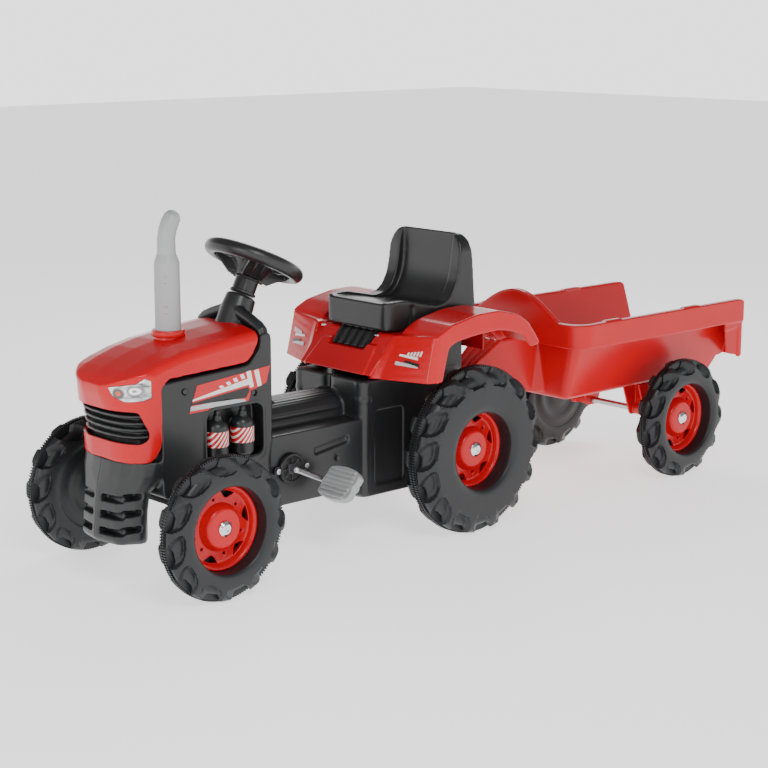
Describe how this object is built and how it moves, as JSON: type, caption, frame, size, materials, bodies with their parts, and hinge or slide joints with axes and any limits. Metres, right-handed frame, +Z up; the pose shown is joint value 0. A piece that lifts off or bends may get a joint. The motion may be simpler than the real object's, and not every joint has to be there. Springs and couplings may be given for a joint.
{
  "type": "pedal tractor with trailer",
  "caption": "Child's chain-driven ride-on pedal tractor with steered front wheels, a seat, fenders and an exhaust stack, towing an open trailer on a drop pin.",
  "frame": {"origin": "on the ground, under the middle of the tractor and trailer together", "axes": "-Y is the way it drives, +X is the driver's left, +Z is up"},
  "size_m": [0.422, 1.444, 0.5868],
  "materials": {
    "tyre_plastic": "satin, chunky moulded tread",
    "dark_body": "satin, fine moulded grain",
    "red_gloss": "glossy",
    "black_plastic": "satin",
    "grey_plastic": "satin",
    "silver_cap": "polished",
    "lamp_silver": "polished reflector",
    "steel": "zinc plated",
    "dark_steel": "black powder coat",
    "chain_steel": "oiled"
  },
  "bodies": {
    "chassis": {"body_shell_left": "dark_body", "body_shell_right": "dark_body", "column_housing": "dark_body", "steering_bush": "black_plastic", "bonnet": "red_gloss", "headlamp_left": "lamp_silver", "headlamp_right": "lamp_silver", "exhaust_pipe": "grey_plastic", "rear_deck": "red_gloss", "seat": "black_plastic", "seat_bracket": "black_plastic", "seat_bolts": "steel", "deck_screws": "steel", "body_screws": "steel", "front_axle_beam": "dark_steel", "crank_bearing_left": "black_plastic", "crank_bearing_right": "black_plastic", "crank_bearing_screws": "steel", "rear_axle_bushes": "black_plastic", "chain": "chain_steel", "hitch_bracket": "dark_steel"},
    "steering": {"steering_wheel": "black_plastic", "steering_cap": "black_plastic", "column_sleeve": "black_plastic", "steering_shaft": "steel"},
    "left_knuckle": {"knuckle_left": "steel"},
    "right_knuckle": {"knuckle_right": "steel"},
    "linkage_bar": {"tie_rod": "steel"},
    "front_left_wheel": {"front_left_tyre": "tyre_plastic", "front_left_rim": "red_gloss", "front_left_hub_cap": "silver_cap"},
    "front_right_wheel": {"front_right_tyre": "tyre_plastic", "front_right_rim": "red_gloss", "front_right_hub_cap": "silver_cap"},
    "rear_drive": {"rear_axle": "steel", "rear_sprocket": "chain_steel", "rear_left_tyre": "tyre_plastic", "rear_left_rim": "red_gloss", "rear_left_hub_cap": "silver_cap"},
    "rear_right_wheel": {"rear_right_tyre": "tyre_plastic", "rear_right_rim": "red_gloss", "rear_right_hub_cap": "silver_cap"},
    "crank": {"crank_shaft": "steel", "front_sprocket": "chain_steel"},
    "left_pedal": {"pedal_left": "grey_plastic"},
    "right_pedal": {"pedal_right": "grey_plastic"},
    "pin": {"hitch_pin": "steel"},
    "trailer": {"trailer_tub": "red_gloss", "trailer_axle_brackets": "red_gloss", "trailer_axle": "steel"},
    "trailer_left_wheel": {"trailer_left_tyre": "tyre_plastic", "trailer_left_rim": "red_gloss", "trailer_left_hub_cap": "silver_cap"},
    "trailer_right_wheel": {"trailer_right_tyre": "tyre_plastic", "trailer_right_rim": "red_gloss", "trailer_right_hub_cap": "silver_cap"}
  },
  "joints": [
    {"name": "steering_turn", "type": "hinge", "parent": "chassis", "child": "steering", "pos_m": [0, -0.39, 0.489], "axis": [0, 0.4384, 0.8988], "range_deg": [-30, 30]},
    {"name": "left_kingpin", "type": "hinge", "parent": "chassis", "child": "left_knuckle", "pos_m": [0.144, -0.604, 0.115], "axis": [0, 0, 1], "range_deg": [-21, 21]},
    {"name": "right_kingpin", "type": "hinge", "parent": "chassis", "child": "right_knuckle", "pos_m": [-0.144, -0.604, 0.115], "axis": [0, 0, 1], "range_deg": [-21, 21]},
    {"name": "tie_rod_pivot", "type": "hinge", "parent": "left_knuckle", "child": "linkage_bar", "pos_m": [0.144, -0.549, 0.113], "axis": [0, 0, 1], "range_deg": [-21, 21]},
    {"name": "front_left_spin", "type": "hinge", "parent": "left_knuckle", "child": "front_left_wheel", "pos_m": [0.185, -0.604, 0.115], "axis": [1, 0, 0], "continuous": true},
    {"name": "front_right_spin", "type": "hinge", "parent": "right_knuckle", "child": "front_right_wheel", "pos_m": [-0.185, -0.604, 0.115], "axis": [1, 0, 0], "continuous": true},
    {"name": "rear_axle_spin", "type": "hinge", "parent": "chassis", "child": "rear_drive", "pos_m": [0, -0.051, 0.147], "axis": [1, 0, 0], "continuous": true},
    {"name": "rear_right_spin", "type": "hinge", "parent": "rear_drive", "child": "rear_right_wheel", "pos_m": [-0.174, -0.051, 0.147], "axis": [1, 0, 0], "continuous": true},
    {"name": "crank_spin", "type": "hinge", "parent": "chassis", "child": "crank", "pos_m": [0, -0.39, 0.155], "axis": [1, 0, 0], "continuous": true},
    {"name": "left_pedal_spin", "type": "hinge", "parent": "crank", "child": "left_pedal", "pos_m": [0.1495, -0.33381, 0.1288], "axis": [1, 0, 0], "continuous": true},
    {"name": "right_pedal_spin", "type": "hinge", "parent": "crank", "child": "right_pedal", "pos_m": [-0.1495, -0.44619, 0.1812], "axis": [1, 0, 0], "continuous": true},
    {"name": "pin_lift", "type": "slide", "parent": "chassis", "child": "pin", "axis": [0, 0, 1], "range_m": [0, 0.04]},
    {"name": "hitch_swing", "type": "hinge", "parent": "chassis", "child": "trailer", "pos_m": [0, 0.055, 0.212], "axis": [0, 0, 1], "range_deg": [-35, 35]},
    {"name": "trailer_left_spin", "type": "hinge", "parent": "trailer", "child": "trailer_left_wheel", "pos_m": [0.17, 0.521, 0.115], "axis": [1, 0, 0], "continuous": true},
    {"name": "trailer_right_spin", "type": "hinge", "parent": "trailer", "child": "trailer_right_wheel", "pos_m": [-0.17, 0.521, 0.115], "axis": [1, 0, 0], "continuous": true}
  ],
  "couplings": [
    {"joint": "left_kingpin", "follows": "steering_turn", "ratio": 0.7},
    {"joint": "right_kingpin", "follows": "steering_turn", "ratio": 0.7},
    {"joint": "tie_rod_pivot", "follows": "steering_turn", "ratio": -0.7},
    {"joint": "crank_spin", "follows": "rear_axle_spin", "ratio": 0.66667}
  ]
}
